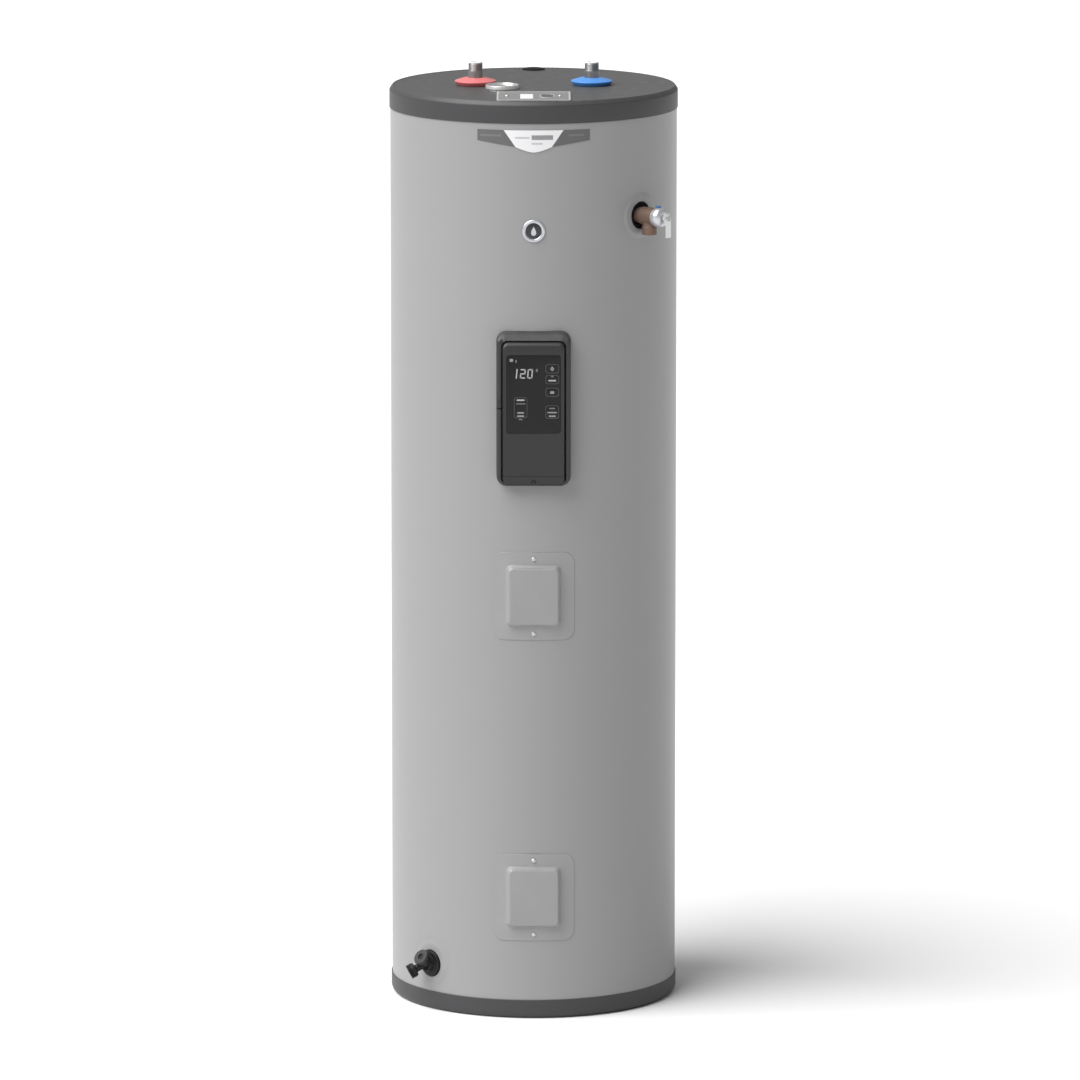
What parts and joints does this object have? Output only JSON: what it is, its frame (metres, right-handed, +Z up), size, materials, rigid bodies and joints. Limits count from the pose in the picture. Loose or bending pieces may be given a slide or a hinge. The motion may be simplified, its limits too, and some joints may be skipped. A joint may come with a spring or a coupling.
{
  "type": "tank water heater",
  "caption": "Tall jacketed electric tank water heater with a front control panel, top pipe nipples, relief valve and drain valve.",
  "frame": {"origin": "centre of the base, on the floor", "axes": "+Z up; the control panel faces -Y; the hot outlet is on -X and the cold inlet on +X"},
  "size_m": [0.505, 0.524, 1.657],
  "materials": {
    "jacket_paint": "satin grey paint",
    "pan_plastic": "moulded, satin",
    "foam": "foamed polyurethane, matt",
    "tank_steel": "glass enamel",
    "steel": "zinc plated",
    "chrome": "bright",
    "brass": "dull, oxidised",
    "red_plastic": "satin",
    "blue_plastic": "satin",
    "white_plastic": "satin",
    "black_plastic": "satin",
    "control_plastic": "fine texture",
    "display_gloss": "gloss",
    "label_grey": "printed film",
    "label_white": "printed film",
    "magnesium": "dull",
    "board_green": "solder mask",
    "wire_sleeve": "sleeved wires"
  },
  "bodies": {
    "heater": {"outer_jacket": "jacket_paint", "top_pan": "pan_plastic", "bottom_pan": "pan_plastic", "foam_insulation": "foam", "tank_shell": "tank_steel", "tank_top_head": "tank_steel", "tank_bottom_head": "tank_steel", "hot_nipple": "steel", "cold_nipple": "steel", "hot_nipple_liner": "white_plastic", "cold_nipple_liner": "white_plastic", "hot_collar": "red_plastic", "cold_collar": "blue_plastic", "dip_tube": "white_plastic", "anode_rod": "magnesium", "anode_cap": "chrome", "rear_plug": "black_plastic", "junction_box": "steel", "junction_cover": "steel", "junction_screw_left": "steel", "junction_screw_right": "steel", "upper_access_cover": "jacket_paint", "lower_access_cover": "jacket_paint", "upper_cover_screw_top": "steel", "upper_cover_screw_bottom": "steel", "lower_cover_screw_top": "steel", "lower_cover_screw_bottom": "steel", "upper_foam_pad": "foam", "lower_foam_pad": "foam", "upper_heating_element": "steel", "lower_heating_element": "steel", "upper_thermostat": "black_plastic", "lower_thermostat": "black_plastic", "supply_lead": "wire_sleeve", "upper_element_lead": "wire_sleeve", "lower_element_lead": "wire_sleeve", "control_housing": "control_plastic", "control_fascia": "control_plastic", "control_screw": "steel", "control_board": "board_green", "display_window": "display_gloss", "front_label": "label_grey", "label_shield": "label_white", "badge_ring": "chrome", "badge_disc": "black_plastic", "tp_valve_body": "brass", "tp_bonnet": "chrome", "tp_spring": "steel", "tp_tag": "blue_plastic", "drain_valve_body": "black_plastic"},
    "tp_stem": {"tp_stem": "steel", "tp_lever_pin": "steel"},
    "tp_lever": {"tp_lever": "steel"},
    "drain_stem": {"drain_stem": "black_plastic"},
    "drain_knob": {"drain_knob": "black_plastic"},
    "key_plus": {"key_plus": "display_gloss"},
    "key_minus": {"key_minus": "display_gloss"},
    "key_units": {"key_units": "display_gloss"},
    "key_mode": {"key_mode": "display_gloss"},
    "key_hold": {"key_hold": "display_gloss"}
  },
  "joints": [
    {"name": "tp_lever_swing", "type": "hinge", "parent": "tp_stem", "child": "tp_lever", "pos_m": [0.23039, -0.20891, 1.4095], "axis": [-0.6717, -0.7408, 0], "range_deg": [0, 80], "stiffness_Nm_per_rad": 0.004},
    {"name": "tp_stem_lift", "type": "slide", "parent": "heater", "child": "tp_stem", "axis": [0.7408, -0.6717, 0], "range_m": [0, 0.0031], "deforming": ["tp_spring"]},
    {"name": "drain_knob_turn", "type": "hinge", "parent": "drain_stem", "child": "drain_knob", "pos_m": [-0.18631, -0.17992, 0.086], "axis": [-0.5892, -0.569, 0.5736], "range_deg": [0, 720]},
    {"name": "drain_stem_rise", "type": "slide", "parent": "heater", "child": "drain_stem", "axis": [-0.5892, -0.569, 0.5736], "range_m": [0, 0.0052]},
    {"name": "key_plus_press", "type": "slide", "parent": "heater", "child": "key_plus", "axis": [0, 1, 0], "range_m": [0, 0.0005], "stiffness_N_per_m": 1500},
    {"name": "key_minus_press", "type": "slide", "parent": "heater", "child": "key_minus", "axis": [0, 1, 0], "range_m": [0, 0.0005], "stiffness_N_per_m": 1500},
    {"name": "key_units_press", "type": "slide", "parent": "heater", "child": "key_units", "axis": [0, 1, 0], "range_m": [0, 0.0005], "stiffness_N_per_m": 1500},
    {"name": "key_mode_press", "type": "slide", "parent": "heater", "child": "key_mode", "axis": [0, 1, 0], "range_m": [0, 0.0005], "stiffness_N_per_m": 1500},
    {"name": "key_hold_press", "type": "slide", "parent": "heater", "child": "key_hold", "axis": [0, 1, 0], "range_m": [0, 0.0005], "stiffness_N_per_m": 1500}
  ],
  "couplings": [
    {"joint": "tp_stem_lift", "follows": "tp_lever_swing", "m_per_rad": 0.002149},
    {"joint": "drain_stem_rise", "follows": "drain_knob_turn", "m_per_rad": 0.0003979}
  ]
}
